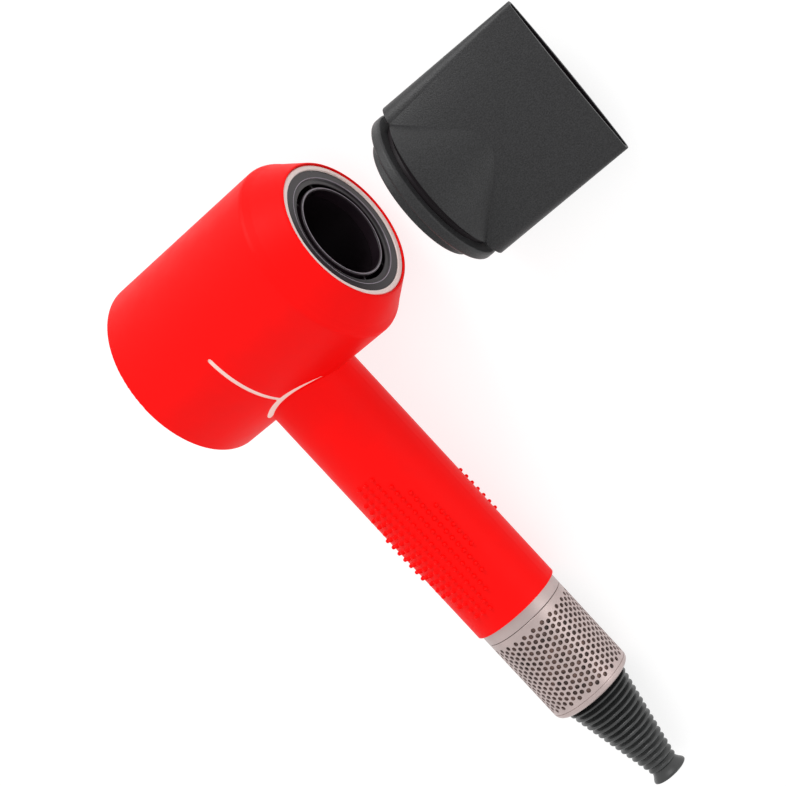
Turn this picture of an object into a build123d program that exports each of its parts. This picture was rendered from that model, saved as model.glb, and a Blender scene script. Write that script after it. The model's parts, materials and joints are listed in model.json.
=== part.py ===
from build123d import *
import math
import os

# A hand-held hair dryer lying on its side, with its concentrator nozzle taken off
# and lying in front of it.  It is modelled in a design frame: the head axis is X,
# air leaves towards +X, and the handle runs along -Y.  A "drop" is a distance
# below the head axis, measured down the handle.  Every piece is then laid down
# together, so that the barrel and the filter cage touch the surface it lies on.
# All lengths are in millimetres.

# ---------------------------------------------------------------- general
fit_gap = 0.1                 # between fixed pieces that plug into each other
run_gap = 0.3                 # between pieces that move past each other
bearing_gap = 0.05            # radial, shaft in bearing
skin_gap = 0.1                # between the sleeve and what it is stretched over
overlap = 0.1                 # how far joined pieces of one solid reach into each other
overshoot = 1.0               # how far a cutter runs past what it cuts

# ---------------------------------------------------------------- head, outside
barrel_radius = 41.0          # outside of the silicone sleeve
barrel_rear_x = -40.25
shoulder_x = 47.5             # where the nose taper starts
shoulder_round = 3.5
nose_length = 14.0            # of the taper, to the sleeve's front edge
nose_edge = 0.5               # sleeve's front edge outside the trim ring
sleeve_wall = 1.5
sleeve_edge_round = 1.0
head_wall = 2.2

# ---------------------------------------------------------------- head, outlet
trim_wall = 2.2
trim_proud = 0.3              # of the sleeve's front edge
trim_depth = 2.6
trim_round = 0.5
face_recess = 0.6             # black face behind the trim ring's front
face_width = 3.3
face_step = 0.8
face_step_width = 2.5         # between the air slot and the face
face_step_slope = 0.6
slot_width = 1.8              # annular air slot
insert_wall = 1.9
insert_depth = 11.0
insert_flange_inset = 0.3     # inside the trim ring's outer radius
insert_flange = 2.0
lip_depth = 3.5               # wall of the head shell behind the trim ring
bore_radius = 19.4            # open bore right through the head
duct_wall = 1.3
rim_recess = 0.9
rim_round = 0.5
slot_round = 0.3
face_round = 0.2
collar_depth = 4.9
rib_count = 8
rib_thickness = 1.0
rib_root = 0.3                # how far a rib's ends reach into the walls beside it
rib_recess = 2.2
magnet_count = 6
magnet_radius = 1.3
magnet_length = 3.0
magnet_cover = 1.0

# ---------------------------------------------------------------- head, rear controls
ring_plate = 2.6
ring_skirt_wall = 1.4
ring_skirt_depth = 9.2
funnel_margin = 6.4           # from the circle of controls in to the funnel's mouth
funnel_share = 19 / 21        # depth for each mm that the funnel widens
funnel_back = 0.2             # from its inside corner to its outside one
funnel_wall = 1.4
funnel_lip = 0.8              # bore length left between the funnel and the duct's socket
funnel_round = 1.0
throat_round = 1.5
socket_depth = 3.6
board_inner_gap = 2.3         # round the duct's socket
board_outer_gap = 0.9         # inside the rear ring's skirt
board_thickness = 1.6
board_offset = 7.2            # from the rear face to the near side of the board
control_inset = 7.1           # of the circle of buttons, lenses and posts, inside the skirt
button_angle = 40.0           # from the top of the ring, to each side
button_length = 12.0
button_width = 6.0
button_proud = 0.9
button_lip = 1.3
button_lip_thickness = 0.7
button_round = 0.5
button_travel = 0.6
lens_radius = 1.0
lens_angles = (62.0, 72.0, 82.0)
lens_proud = 0.1
led_size = 1.8
led_height = 0.7
post_angles = (0.0, 115.0, 245.0)
post_radius = 2.4
screw_radius = 1.0
screw_head_radius = 2.0
screw_head = 1.4
board_screw_tip = 0.6         # left between a board screw's end and the ring's plate
tact_size = 6.0
tact_plunger_radius = 1.7
tact_plunger = 0.5

# ---------------------------------------------------------------- head, heater
shroud_gap = 2.0              # inside the head shell
shroud_wall = 0.6
shroud_lead = 1.0             # how far it starts behind the heater frame
heater_rear_gap = 4.0         # in front of the ioniser
heater_front_gap = 13.5       # behind the shoulder
heater_hub_wall = 0.5
mica_thickness = 0.8
mica_count = 6
coil_height = 6.7             # of the wire's middle over the heater's hub
coil_width = 1.6
coil_turns = 7
coil_gap = 0.15
outlet_duct_gap = 0.8         # inside the head shell
outlet_duct_wall = 1.4
outlet_duct_lead = 1.8        # in front of the heater
outlet_duct_bend = 5.5        # behind the shoulder
outlet_duct_lip = 1.6         # its front edge, outside the insert's tube
fuse_radius = 1.6
fuse_length = 10.0
fuse_inset = 4.0              # from the heater's rear end
thermostat_radius = 4.0
thermostat_height = 3.5
thermostat_inset = 16.0
ioniser_length = 12.0
ioniser_width = 10.0
ioniser_height = 6.0
ioniser_gap = 3.4             # in front of the control board
ioniser_angle = 30.0          # between two mica plates
needle_radius = 0.5
needle_length = 5.0
needle_depth = 3.6            # below the ioniser's outer face

# ---------------------------------------------------------------- handle, outside
handle_radius = 19.3          # bare plastic tube under the sleeve
handle_wall = 1.6
grip_wall = 1.3               # silicone on the handle
junction_round = 2.3
neck_end = 46.0               # drop where the head's neck meets the handle tube
neck_top = 30.0
gasket_thickness = 0.8
spigot_wall = 1.3
spigot_depth = 8.0
spigot_step = 2.2
sleeve_tail = 13.3            # from the motor's bottom to the sleeve's end
slit_x = 0.15                 # stretching slit round the barrel
slit_width = 2.2
slit_top = 1.5
slit_bottom = 34.4
slit_inner = 18.4             # a slit's cutter reaches in to here
crescent_radius = 23.3        # stretching slit round the root of the handle
crescent_offset = 1.4         # of its centre from the handle's axis, towards the outlet
crescent_width = 2.5
crescent_taper = 0.1          # share of the width lost on each side by its middle
crescent_end = 3.0            # degrees that its rounded rear end adds
crescent_rear_angle = -38.0
crescent_front_angle = 45.0

# ---------------------------------------------------------------- handle, controls
window_lead = 12.0            # below the neck's end
window_length = 48.0
window_half_width = 6.8
window_margin = 0.8           # how much wider the sleeve's window is
plate_gap = 0.2
plate_proud = 0.6             # of the bare handle
plate_wall = 2.5
slider_inset = 16.0           # from the window's top to the slider at rest
slider_travel = 6.0
slider_stem_length = 8.0
slider_stem_width = 3.8
slider_knob_length = 11.0
slider_knob_width = 9.0
slider_knob_height = 2.1
slider_corner = 1.5
slider_round = 0.5
slider_ridge_count = 4
slider_ridge_pitch = 2.0
slider_ridge_width = 6.0
slider_ridge_length = 1.0
slider_ridge_height = 0.5
slider_keeper_length = 10.0
slider_keeper_width = 7.2
slider_keeper = 0.8
cool_shot_inset = 12.0        # from the window's bottom
cool_shot_radius = 4.5
cool_shot_lip = 1.1
cool_shot_lip_thickness = 0.7
cool_shot_round = 0.8
cool_shot_proud = 0.7         # beyond the sleeve
cool_shot_travel = 1.0
power_board_x = -9.0          # far side of the board from the controls
power_board_thickness = 1.6
power_board_top_margin = 4.0  # beyond the window
power_board_bottom_margin = 6.0
capacitor_radius = 5.0
capacitor_length = 13.0
capacitor_round = 0.8
capacitor_inset = 8.0         # from the power board's top
sink_top_inset = 24.0         # from the power board's ends
sink_bottom_inset = 6.0
sink_half_width = 9.0
sink_base = 2.0
sink_height = 11.0
sink_fins = 5
sink_fin = 1.2
sink_clearance = 1.0          # from the handle's inside
slide_switch_length = 16.0
slide_switch_width = 6.0
switch_gap = 0.5

# ---------------------------------------------------------------- handle, motor
motor_gap = 6.0               # below the power board
motor_length = 32.0
hub_inset = 0.5               # from the motor's top
motor_duct_gap = 1.0          # inside the handle's wall
motor_duct_wall = 0.8
hub_radius = 9.6
hub_wall = 1.0
hub_length = 21.5
hub_end_wall = 3.0
vane_count = 9
vane_thickness = 0.9
vane_length = 12.0
vane_pitch = 18.0
vane_end_gap = 1.0            # above the hub's lower end
stator_inner_radius = 4.6
stator_slot_count = 6
stator_slot_radius = 1.3
stator_end_gap = 0.3
bearing_outer_radius = 3.5
bearing_width = 2.6
bearing_inset = 0.2           # below the hub's end faces
shaft_radius = 1.5
shaft_proud = 0.5             # above the motor's top
rotor_magnet_radius = 4.2
rotor_magnet_end_gap = 0.8
impeller_hub_radius = 9.2
impeller_nose_radius = 3.5
impeller_length = 8.0
impeller_waist_drop = 4.0     # where the hub narrows towards its nose
impeller_waist_radius = 7.4
impeller_waist_round = 2.0
impeller_nose_round = 0.8
impeller_gap = 1.0
blade_count = 7
blade_thickness = 0.8
blade_root_pitch = 35.0
blade_tip_pitch = 62.0
blade_tip_gap = 0.4
blade_end_gap = 0.3
blade_height = 6.8
mount_length = 4.0
mount_inset = 1.0
bell_length = 6.5
bell_lip = 0.4
bell_throat = 2.6             # length over which it hardly widens
bell_flare = 0.3

# ---------------------------------------------------------------- inlet end
collar_length_bare = 5.1      # from the sleeve's end to the seam at the cage
collar_step = 0.1             # how far the bare collar stands out from the handle
collar_socket_depth = 2.9
collar_wall_inside = 1.3
collar_spigot_depth = 5.8
cage_wall = 0.7
cage_length = 43.6            # from the seam
cage_corner = 2.8
cage_inner_corner = 2.0
cage_floor = 1.4
cage_margin = 4.0             # from the cage's end to where its straight wall starts
cage_mouth_lip = 2.9          # the turned-in end
cage_spigot_wall = 0.8
cage_spigot_depth = 2.5
cage_hole_size = 3.2
cage_hole_columns = 20
cage_hole_rows = 6
cage_hole_pitch = 5.1
cage_hole_lead = 7.6          # from the seam to the first row
cage_travel = 58.0
mesh_gap = 0.2
mesh_wall = 0.4
mesh_inset = 2.1
core_gap = 0.9                # inside the cage's mouth
core_proud = 0.4              # beyond the end of the cage
core_disc = 6.0
core_post_inset = 0.2
core_post_radial = 2.6
core_post_width = 3.0
core_post_count = 4
core_ring_wall = 1.4
core_ring_lead = 3.3          # above the sleeve's end
cord_bore_radius = 3.6
relief_neck_radius = 5.5
relief_flange_radius = 8.0
relief_flange = 1.9
relief_inset = 0.1            # of its root inside the core's edge
relief_tip_radius = 7.2
relief_lead = 1.0             # below the cage's end
relief_ribs_length = 40.6
relief_rib_count = 15
relief_rib_depth = 2.2
relief_rib_share = 0.6        # of the pitch that is rib rather than gap
relief_tail = 6.6             # from the last rib to the end
relief_end_radius = 8.2
relief_end_ring = 4.0
clamp_length = 27.0
clamp_width = 8.0
clamp_height = 5.8
clamp_foot = 4.5
clamp_screw_x = 11.2
clamp_screw_length = 12.0
clamp_screw_floor = 1.4       # left under the screw's end
clamp_bite = 0.3

# ---------------------------------------------------------------- nozzle, taken off
nozzle_lying_x = 99.6         # rear face of the flange, as it lies
nozzle_lying_y = -10.3
nozzle_dip = 12.1             # its mouth points down towards the surface
flange_overhang = 3.6         # beyond the trim ring
flange_thickness = 4.5
flange_round = 1.2
collar_gap = 0.5              # seat ring, inside the trim ring
collar_length = 4.8
collar_wall = 3.0
collar_round = 0.5
collar_lip_height = 1.8
collar_lip = 1.4
neck_wall = 1.5
neck_length = 1.7
body_length = 64.5
body_width = 72.0
body_height = 26.0
body_end_height = 15.0
body_end_share = 0.45         # how round the ends of its flat oval are
mouth_width = 71.2
mouth_height = 8.6
mouth_end_height = 4.2
nozzle_wall = 1.3
bulge_wall = 1.6              # across the bulge's own slope
bulge_half_width = 30.6
bulge_half_height = 25.5
bulge_length = 28.2
bulge_share = 0.335           # how small the bulge has become at its end


# ================================================================ helpers
def turned_x(*corners):
    """Solid of revolution about the head axis; a corner is (x, radius[, rounding])."""
    return revolve(outline(corners, lambda x, r: (x, r)), Axis.X)


def turned_y(*corners):
    """Solid of revolution about the handle axis; a corner is (drop, radius[, rounding])."""
    return revolve(outline(corners, lambda drop, r: (r, -drop)), Axis.Y)


def outline(corners, place):
    points = [place(corner[0], corner[1]) for corner in corners]
    face = make_face(Polyline(*points, close=True))
    for point, corner in zip(points, corners):
        if len(corner) > 2:
            face = fillet(face.vertices().sort_by_distance(point)[0], corner[2])
    return face


def ring_x(outer, inner, x_from, x_to):
    return extrude(Plane.YZ.offset(x_from) * (Circle(outer) - Circle(inner)), x_to - x_from)


def rod_x(radius, x_from, x_to, y=0.0, z=0.0):
    return extrude(Plane.YZ.offset(x_from) * Pos(y, z) * Circle(radius), x_to - x_from)


def ring_y(outer, inner, drop_from, drop_to):
    return extrude(Plane.XZ.offset(drop_from) * (Circle(outer) - Circle(inner)), drop_to - drop_from)


def rod_y(radius, drop_from, drop_to, x=0.0, z=0.0):
    return extrude(Plane.XZ.offset(drop_from) * Pos(x, z) * Circle(radius), drop_to - drop_from)


def block(x_range, drop_range, z_range):
    sizes = [x_range[1] - x_range[0], drop_range[1] - drop_range[0], z_range[1] - z_range[0]]
    centre = (sum(x_range) / 2, -sum(drop_range) / 2, sum(z_range) / 2)
    return Pos(*centre) * Box(*sizes)


def round_x(angle, radius=0.0):
    """Place on the head's rear ring: an angle from the top (+Y) towards +Z."""
    return radius * math.cos(math.radians(angle)), radius * math.sin(math.radians(angle))


def group(shapes):
    return Compound([solid for shape in shapes for solid in shape.solids()])


# ================================================================ head casing
nose_x = shoulder_x + nose_length
duct_radius = bore_radius + duct_wall
slot_outer_radius = duct_radius + slot_width
face_inner_radius = slot_outer_radius + face_step_width
trim_inner_radius = face_inner_radius + face_width
trim_outer_radius = trim_inner_radius + trim_wall
trim_front_x = nose_x + trim_proud
nose_radius = trim_outer_radius + nose_edge
taper = math.atan2(barrel_radius - nose_radius, nose_x - shoulder_x)
shell_inset = sleeve_wall + skin_gap
cavity_inset = shell_inset + head_wall
shell_rear_x = barrel_rear_x + skin_gap / 2
cavity_radius = barrel_radius - cavity_inset
trim_rear_x = trim_front_x - trim_depth
lip_front_x = trim_rear_x - fit_gap
lip_rear_x = lip_front_x - lip_depth
grip_radius = handle_radius + skin_gap + grip_wall
handle_inner_radius = handle_radius - handle_wall

# Each station down the handle is measured from the one above it.
window_top = neck_end + window_lead
window_bottom = window_top + window_length
power_board_top = window_top - power_board_top_margin
power_board_bottom = window_bottom + power_board_bottom_margin
motor_top = power_board_bottom + motor_gap
motor_bottom = motor_top + motor_length
sleeve_end = motor_bottom + sleeve_tail
collar_end = sleeve_end + collar_length_bare
cage_end = collar_end + cage_length


def taper_radius(inset, x):
    bend_x = shoulder_x - inset * math.tan(taper / 2)
    return barrel_radius - inset - math.tan(taper) * (x - bend_x)


def barrel(inset, rear_x, front_x, edge_round=0.0):
    """Body of revolution that follows the outside of the sleeve, this far inside it."""
    radius = barrel_radius - inset
    bend_x = shoulder_x - inset * math.tan(taper / 2)
    rear = (rear_x, radius, edge_round) if edge_round else (rear_x, radius)
    shoulder = (bend_x, radius, shoulder_round)
    return turned_x((rear_x, 0), rear, shoulder, (front_x, taper_radius(inset, front_x)), (front_x, 0))


def crescent(side):
    """Tapering slit round the root of the handle, on one side of the dryer."""
    def at(radius, angle):
        turn = math.radians(angle)
        return crescent_offset + radius * math.sin(turn), side * radius * math.cos(turn)

    middle_angle = (crescent_rear_angle + crescent_front_angle) / 2
    inner = crescent_radius - crescent_width / 2
    outer = crescent_radius + crescent_width / 2
    loss = crescent_width * crescent_taper
    tip = at(crescent_radius, crescent_front_angle)
    rear = at(crescent_radius, crescent_rear_angle - crescent_end)
    lines = [
        ThreePointArc(at(outer, crescent_rear_angle), at(outer - loss, middle_angle), tip),
        ThreePointArc(tip, at(inner + loss, middle_angle), at(inner, crescent_rear_angle)),
        ThreePointArc(at(inner, crescent_rear_angle), rear, at(outer, crescent_rear_angle)),
    ]
    start = barrel_radius / 2
    return extrude(Plane.XZ.offset(start) * make_face(lines), start + junction_round)


def slit(side):
    """Round-ended slit round the barrel, from its side down to the crescent."""
    middle = -(slit_top + slit_bottom) / 2
    shape = Pos(slit_x, middle) * Rot(Z=90) * SlotOverall(slit_bottom - slit_top, slit_width)
    start, end = sorted((side * slit_inner, side * (barrel_radius + overshoot)))
    return extrude(Plane.XY.offset(start) * shape, end - start)


def build_sleeve():
    body = barrel(0, barrel_rear_x, nose_x, sleeve_edge_round) + rod_y(grip_radius, neck_top, sleeve_end)
    creases = body.edges().filter_by(lambda edge: -barrel_radius < edge.center().Y < -neck_top)
    body = fillet(creases, junction_round)
    mouth_radius = trim_outer_radius + skin_gap
    inside = barrel(sleeve_wall, barrel_rear_x - sleeve_wall, nose_x - sleeve_wall)
    inside += rod_x(mouth_radius, 0, nose_x + sleeve_wall)
    inside += rod_y(handle_radius + skin_gap, 0, sleeve_end + sleeve_wall)
    body -= inside
    margin = window_margin
    window = block((-barrel_radius, 0), (window_top - margin, window_bottom + margin),
                   (-window_half_width - margin, window_half_width + margin))
    window = fillet(window.edges().filter_by(Axis.X), 3 * margin)
    body -= window
    for side in (1, -1):
        body -= slit(side)
        body -= crescent(side)
    return body


def build_head_shell():
    body = barrel(shell_inset, shell_rear_x, lip_front_x)
    body += rod_y(handle_radius, neck_top, neck_end)
    body -= barrel(cavity_inset, shell_rear_x - overshoot, lip_rear_x)
    body -= rod_x(trim_inner_radius, 0, nose_x)
    body -= rod_y(handle_inner_radius, 0, neck_end + overshoot)
    return body


def build_front_trim_ring():
    return turned_x(
        (trim_rear_x, trim_inner_radius),
        (trim_rear_x, trim_outer_radius),
        (trim_front_x, trim_outer_radius, trim_round),
        (trim_front_x, trim_inner_radius, trim_round),
    )


face_x = trim_front_x - face_recess
step_x = face_x - face_step
insert_radius = trim_inner_radius - fit_gap
insert_tube_radius = slot_outer_radius + insert_wall
insert_rear_x = face_x - insert_depth
insert_flange_radius = trim_outer_radius - insert_flange_inset
rim_x = trim_front_x - rim_recess
collar_rear_x = rim_x - collar_depth
magnet_circle = (face_inner_radius + insert_radius) / 2
magnet_front_x = face_x - magnet_cover


def build_outlet_insert():
    flange_front_x = lip_rear_x - fit_gap
    flange_rear_x = flange_front_x - insert_flange
    body = turned_x(
        (insert_rear_x, slot_outer_radius),
        (step_x, slot_outer_radius, slot_round),
        (step_x, face_inner_radius - face_step_slope),
        (face_x, face_inner_radius, face_round),
        (face_x, insert_radius),
        (flange_front_x, insert_radius),
        (flange_front_x, insert_flange_radius),
        (flange_rear_x, insert_flange_radius),
        (flange_rear_x, insert_tube_radius),
        (insert_rear_x, insert_tube_radius),
    )
    body += turned_x(
        (collar_rear_x, bore_radius),
        (collar_rear_x, duct_radius),
        (rim_x, duct_radius, rim_round),
        (rim_x, bore_radius, rim_round),
    )
    rib_height = slot_outer_radius - duct_radius + 2 * rib_root
    rib_length = rim_x - rib_recess - collar_rear_x
    rib = Pos(collar_rear_x + rib_length / 2, (slot_outer_radius + duct_radius) / 2, 0)
    rib = rib * Box(rib_length, rib_height, rib_thickness)
    for number in range(rib_count):
        body += Rot(X=360 / rib_count * (number + 0.5)) * rib
    for y, z in magnet_places():
        body -= rod_x(magnet_radius + fit_gap / 2, flange_rear_x - overshoot, magnet_front_x, y, z)
    return body


def magnet_places():
    return [round_x(360 / magnet_count * number, magnet_circle) for number in range(magnet_count)]


def build_outlet_magnets():
    return group(rod_x(magnet_radius, magnet_front_x - magnet_length, magnet_front_x, y, z)
                 for y, z in magnet_places())


outlet_duct_radius = cavity_radius - outlet_duct_gap
outlet_duct_front_radius = insert_tube_radius + outlet_duct_lip
outlet_duct_bend_x = shoulder_x - outlet_duct_bend
heater_front_x = shoulder_x - heater_front_gap
outlet_duct_rear_x = heater_front_x + outlet_duct_lead


def build_outlet_duct():
    front_x = lip_rear_x - fit_gap - insert_flange - fit_gap
    wall = outlet_duct_wall
    return turned_x(
        (outlet_duct_rear_x, outlet_duct_radius - wall),
        (outlet_duct_rear_x, outlet_duct_radius),
        (outlet_duct_bend_x, outlet_duct_radius),
        (front_x, outlet_duct_front_radius),
        (front_x, insert_tube_radius + fit_gap),
        (outlet_duct_bend_x - wall / 2, outlet_duct_radius - wall),
    )


skirt_radius = cavity_radius - fit_gap
control_radius = skirt_radius - control_inset
funnel_radius = control_radius - funnel_margin
funnel_depth = (funnel_radius - bore_radius) * funnel_share
socket_x = shell_rear_x + funnel_depth + funnel_lip


def build_inner_duct():
    return ring_x(duct_radius, bore_radius, socket_x + fit_gap, collar_rear_x - fit_gap)


# ================================================================ rear controls
ring_inner_x = shell_rear_x + ring_plate
board_x = shell_rear_x + board_offset
button_lip_x = ring_inner_x + run_gap
skirt_inner_radius = skirt_radius - ring_skirt_wall
socket_outer_radius = duct_radius + fit_gap + funnel_wall
board_inner_radius = socket_outer_radius + board_inner_gap
board_outer_radius = skirt_inner_radius - board_outer_gap


def build_rear_ring():
    socket_end_x = socket_x + socket_depth
    body = turned_x(
        (shell_rear_x, funnel_radius, funnel_round),
        (shell_rear_x, skirt_radius),
        (shell_rear_x + ring_skirt_depth, skirt_radius),
        (shell_rear_x + ring_skirt_depth, skirt_inner_radius),
        (ring_inner_x, skirt_inner_radius),
        (ring_inner_x, funnel_radius + funnel_wall),
        (shell_rear_x + funnel_depth + funnel_back, socket_outer_radius),
        (socket_end_x, socket_outer_radius),
        (socket_end_x, duct_radius + fit_gap),
        (socket_x, duct_radius + fit_gap),
        (socket_x, bore_radius),
        (shell_rear_x + funnel_depth, bore_radius, throat_round),
    )
    for angle in post_angles:
        body += rod_x(post_radius, ring_inner_x, board_x - fit_gap / 2, *round_x(angle, control_radius))
        body -= rod_x(screw_radius + bearing_gap, ring_inner_x, board_x, *round_x(angle, control_radius))
    for side in (1, -1):
        body -= button_slot(side, run_gap, shell_rear_x - overshoot, ring_inner_x + overshoot)
        for angle in lens_angles:
            place = round_x(side * angle, control_radius)
            body -= rod_x(lens_radius + fit_gap, shell_rear_x - overshoot, ring_inner_x + overshoot, *place)
    return body


def button_slot(side, margin, x_from, x_to):
    """Rounded bar across the ring at a button's place, this much larger than the cap."""
    y, z = round_x(side * button_angle, control_radius)
    shape = SlotOverall(button_length + 2 * margin, button_width + 2 * margin)
    shape = Pos(y, z) * Rot(Z=side * button_angle + 90) * shape
    return extrude(Plane.YZ.offset(x_from) * shape, x_to - x_from)


def build_button(side):
    cap = button_slot(side, 0, shell_rear_x - button_proud, button_lip_x + overlap)
    cap = fillet(cap.faces().sort_by(Axis.X)[0].edges(), button_round)
    return cap + button_slot(side, button_lip, button_lip_x, button_lip_x + button_lip_thickness)


def build_control_board():
    body = ring_x(board_outer_radius, board_inner_radius, board_x, board_x + board_thickness)
    for angle in post_angles:
        back_x = board_x + board_thickness + overshoot
        body -= rod_x(screw_radius + fit_gap, board_x - overshoot, back_x, *round_x(angle, control_radius))
    return body


def tact(base_x, top_x, y, z, turn=0.0):
    """Low square switch with a round plunger that points towards -X."""
    length = base_x - top_x - tact_plunger
    body = Pos(base_x - length / 2, y, z) * Rot(X=turn) * Box(length, tact_size, tact_size)
    return body + rod_x(tact_plunger_radius, top_x, base_x - length + overlap, y, z)


def build_button_switches():
    top_x = button_lip_x + button_lip_thickness + button_travel + fit_gap
    return group(tact(board_x, top_x, *round_x(side * button_angle, control_radius), side * button_angle)
                 for side in (1, -1))


def light_places():
    return [round_x(side * angle, control_radius) for side in (1, -1) for angle in lens_angles]


def build_indicator_leds():
    return group(Pos(board_x - led_height / 2, y, z) * Box(led_height, led_size, led_size)
                 for y, z in light_places())


def build_indicator_lenses():
    return group(rod_x(lens_radius, shell_rear_x - lens_proud, board_x - led_height - fit_gap, y, z)
                 for y, z in light_places())


def build_board_screws():
    screws = []
    for angle in post_angles:
        y, z = round_x(angle, control_radius)
        back_x = board_x + board_thickness
        shank = rod_x(screw_radius, ring_inner_x + board_screw_tip, back_x, y, z)
        screws.append(shank + rod_x(screw_head_radius, back_x, back_x + screw_head, y, z))
    return group(screws)


# ================================================================ heater
heater_hub_radius = duct_radius + fit_gap + heater_hub_wall
ioniser_rear_x = board_x + board_thickness + ioniser_gap
heater_rear_x = ioniser_rear_x + ioniser_length + heater_rear_gap
shroud_radius = cavity_radius - shroud_gap
coil_radius = heater_hub_radius + coil_height
shroud_inner_radius = shroud_radius - shroud_wall


def coil_starts():
    pitch = (heater_front_x - heater_rear_x) / (coil_turns + 1)
    return [heater_rear_x + pitch * (turn + 1) - coil_width / 2 for turn in range(coil_turns)]


def build_heater_coil():
    half = coil_width / 2
    return group(ring_x(coil_radius + half, coil_radius - half, x, x + coil_width) for x in coil_starts())


def build_heater_frame():
    body = ring_x(heater_hub_radius, duct_radius + fit_gap, heater_rear_x, heater_front_x)
    length = heater_front_x - heater_rear_x
    height = shroud_inner_radius - fit_gap - heater_hub_radius + heater_hub_wall / 2
    middle = shroud_inner_radius - fit_gap - height / 2
    plate = Pos((heater_front_x + heater_rear_x) / 2, middle, 0) * Box(length, height, mica_thickness)
    half = coil_width / 2 + coil_gap
    notch_height = 2 * half
    notch_depth = mica_thickness + 2 * overshoot
    for x in coil_starts():
        notch = Box(coil_width + 2 * coil_gap, notch_height, notch_depth)
        plate -= Pos(x + coil_width / 2, coil_radius, 0) * notch
    for number in range(mica_count):
        body += Rot(X=360 / mica_count * number) * plate
    return body


def build_heater_shroud():
    front_x = outlet_duct_rear_x - fit_gap
    return ring_x(shroud_radius, shroud_inner_radius, heater_rear_x - shroud_lead, front_x)


def build_thermal_fuse():
    y, z = round_x(180 / mica_count, heater_hub_radius + fuse_radius + fit_gap)
    rear_x = heater_rear_x + fuse_inset
    return rod_x(fuse_radius, rear_x, rear_x + fuse_length, y, z)


def build_thermostat():
    drum = Pos(heater_rear_x + thermostat_inset, heater_hub_radius + fit_gap + thermostat_height / 2, 0)
    drum = drum * Rot(X=90) * Cylinder(thermostat_radius, thermostat_height)
    return Rot(X=180 + 180 / mica_count) * drum


def build_ioniser():
    top = math.sqrt(cavity_radius ** 2 - (ioniser_width / 2) ** 2) - fit_gap
    middle_x = ioniser_rear_x + ioniser_length / 2
    body = Pos(middle_x, top - ioniser_height / 2, 0) * Box(ioniser_length, ioniser_height, ioniser_width)
    front_x = ioniser_rear_x + ioniser_length
    body += rod_x(needle_radius, front_x - overlap, front_x + needle_length, top - needle_depth)
    return Rot(X=ioniser_angle) * body


# ================================================================ handle
tube_top = neck_end + gasket_thickness
spigot_radius = handle_inner_radius - 2 * fit_gap


def build_handle_shell():
    body = turned_y(
        (neck_end - spigot_depth, spigot_radius - spigot_wall),
        (neck_end - spigot_depth, spigot_radius),
        (tube_top, spigot_radius),
        (tube_top, handle_radius),
        (sleeve_end - fit_gap, handle_radius),
        (sleeve_end - fit_gap, handle_inner_radius),
        (tube_top + spigot_step, handle_inner_radius),
        (tube_top + spigot_step, spigot_radius - spigot_wall),
    )
    return body - block((-2 * handle_radius, 0), (window_top, window_bottom),
                        (-window_half_width, window_half_width))


def build_neck_gasket():
    return ring_y(handle_radius - fit_gap, spigot_radius + fit_gap, neck_end, tube_top)


plate_radius = handle_radius + plate_proud
slider_rest_drop = window_top + slider_inset
cool_shot_drop = window_bottom - cool_shot_inset
slider_low = slider_rest_drop + slider_stem_length / 2 + run_gap
slider_high = slider_rest_drop - slider_travel - slider_stem_length / 2 - run_gap
plate_inner_radius = plate_radius - plate_wall


def build_switch_plate():
    half = window_half_width - plate_gap
    body = ring_y(plate_radius, plate_inner_radius, window_top + plate_gap, window_bottom - plate_gap)
    body &= block((-2 * handle_radius, 0), (window_top, window_bottom), (-half, half))
    stem_half = slider_stem_width / 2 + run_gap
    body -= block((-2 * handle_radius, 0), (slider_high, slider_low), (-stem_half, stem_half))
    body -= rod_x(cool_shot_radius + run_gap, -2 * handle_radius, 0, -cool_shot_drop)
    return body


def build_power_slider():
    knob_x = -(plate_radius + run_gap)
    top_x = knob_x - slider_knob_height
    middle = slider_rest_drop

    def bar(x_from, x_to, length, width):
        return block((x_from, x_to), (middle - length / 2, middle + length / 2), (-width / 2, width / 2))

    knob = bar(top_x, knob_x, slider_knob_length, slider_knob_width)
    knob = fillet(knob.edges().filter_by(Axis.X), slider_corner)
    knob = fillet(knob.faces().sort_by(Axis.X)[0].edges(), slider_round)
    half_length = slider_ridge_length / 2
    half_width = slider_ridge_width / 2
    for number in range(slider_ridge_count):
        drop = middle + slider_ridge_pitch * (number - (slider_ridge_count - 1) / 2)
        knob += block((top_x - slider_ridge_height, top_x + overlap),
                      (drop - half_length, drop + half_length), (-half_width, half_width))
    half = slider_keeper_width / 2
    keeper_x = -math.sqrt(plate_inner_radius ** 2 - half ** 2) + run_gap
    keeper = bar(keeper_x, keeper_x + slider_keeper, slider_keeper_length, slider_keeper_width)
    stem = bar(knob_x - overlap, keeper_x + overlap, slider_stem_length, slider_stem_width)
    return knob + stem + keeper


cool_shot_lip_radius = cool_shot_radius + cool_shot_lip
cool_shot_lip_x = run_gap - math.sqrt(plate_inner_radius ** 2 - cool_shot_lip_radius ** 2)
cool_shot_end_x = cool_shot_lip_x + cool_shot_lip_thickness
board_face_x = power_board_x - power_board_thickness
capacitor_drop = power_board_top + capacitor_inset
sink_top = power_board_top + sink_top_inset
sink_bottom = power_board_bottom - sink_bottom_inset
board_half_width = math.sqrt((handle_inner_radius - run_gap) ** 2 - board_face_x ** 2)


def build_cool_shot_button():
    top_x = -grip_radius - cool_shot_proud
    cap = rod_x(cool_shot_radius, top_x, cool_shot_end_x, -cool_shot_drop)
    cap = fillet(cap.faces().sort_by(Axis.X)[0].edges(), cool_shot_round)
    return cap + rod_x(cool_shot_lip_radius, cool_shot_lip_x, cool_shot_end_x, -cool_shot_drop)


def build_cool_shot_switch():
    return tact(board_face_x, cool_shot_end_x + cool_shot_travel + fit_gap, -cool_shot_drop, 0)


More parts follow.
